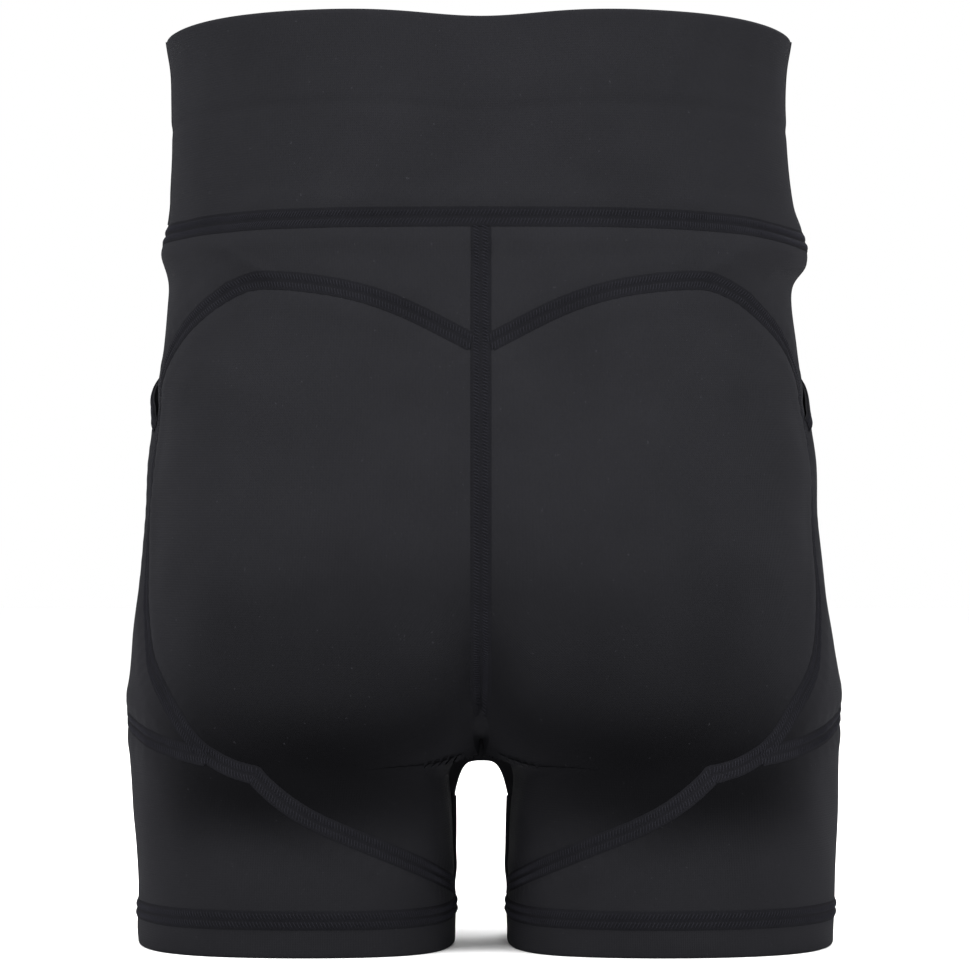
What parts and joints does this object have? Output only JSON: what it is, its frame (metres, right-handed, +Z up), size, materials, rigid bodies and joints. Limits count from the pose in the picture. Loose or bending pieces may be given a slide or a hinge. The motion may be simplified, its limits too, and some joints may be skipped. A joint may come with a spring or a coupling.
{
  "type": "padded impact shorts",
  "caption": "High-waisted stretch shorts with a heart-shaped seat seam, open side pockets and removable foam impact pads at the hips and tailbone.",
  "frame": {"origin": "middle of the footprint, on the flat ground that both leg hems stand on", "axes": "+Z up the wearer's body, +Y the way the wearer faces, +X the wearer's right"},
  "size_m": [0.3292, 0.2134, 0.4221],
  "materials": {
    "stretch_jersey": "matt brushed stretch jersey, near black",
    "seam_thread": "black flatlock stitching, slightly shinier than the jersey",
    "lining_knit": "matt black lining knit",
    "elastic_webbing": "ribbed dark woven elastic",
    "mesh_knit": "open black mesh knit",
    "impact_foam": "matt charcoal closed-cell foam"
  },
  "bodies": {
    "shorts": {"waistband_outer_back": "stretch_jersey", "waistband_outer_front": "stretch_jersey", "crotch_gusset": "stretch_jersey", "waistband_lining_back": "lining_knit", "waistband_lining_front": "lining_knit", "waist_elastic": "elastic_webbing", "waist_seam": "seam_thread", "centre_back_seam": "seam_thread", "centre_front_seam": "seam_thread", "tailbone_pad_sleeve": "mesh_knit", "seat_panel_left": "stretch_jersey", "back_yoke_left": "stretch_jersey", "pocket_panel_left": "stretch_jersey", "leg_panel_left": "stretch_jersey", "front_panel_left": "stretch_jersey", "leg_hem_left": "stretch_jersey", "pocket_backing_left": "lining_knit", "hip_pad_left_sleeve": "mesh_knit", "hem_stitching_left": "seam_thread", "seat_seam_left": "seam_thread", "pocket_base_seam_left": "seam_thread", "pocket_mouth_hem_left": "seam_thread", "front_side_seam_left": "seam_thread", "inseam_left": "seam_thread", "waistband_side_seam_left": "seam_thread", "seat_panel_right": "stretch_jersey", "back_yoke_right": "stretch_jersey", "pocket_panel_right": "stretch_jersey", "leg_panel_right": "stretch_jersey", "front_panel_right": "stretch_jersey", "leg_hem_right": "stretch_jersey", "pocket_backing_right": "lining_knit", "hip_pad_right_sleeve": "mesh_knit", "hem_stitching_right": "seam_thread", "seat_seam_right": "seam_thread", "pocket_base_seam_right": "seam_thread", "pocket_mouth_hem_right": "seam_thread", "front_side_seam_right": "seam_thread", "inseam_right": "seam_thread", "waistband_side_seam_right": "seam_thread"},
    "tailbone_pad": {"tailbone_pad_foam": "impact_foam", "tailbone_pad_backing": "lining_knit"},
    "hip_pad_right": {"hip_pad_right_foam": "impact_foam", "hip_pad_right_backing": "lining_knit"},
    "hip_pad_left": {"hip_pad_left_foam": "impact_foam", "hip_pad_left_backing": "lining_knit"}
  },
  "joints": [
    {"name": "tailbone_pad_slide", "type": "slide", "parent": "shorts", "child": "tailbone_pad", "axis": [0, 0.1961, 0.9806], "range_m": [0, 0.1081]},
    {"name": "hip_pad_right_slide", "type": "slide", "parent": "shorts", "child": "hip_pad_right", "axis": [-0.158, 0, 0.9874], "range_m": [0, 0.1256]},
    {"name": "hip_pad_left_slide", "type": "slide", "parent": "shorts", "child": "hip_pad_left", "axis": [0.158, 0, 0.9874], "range_m": [0, 0.1256]}
  ]
}
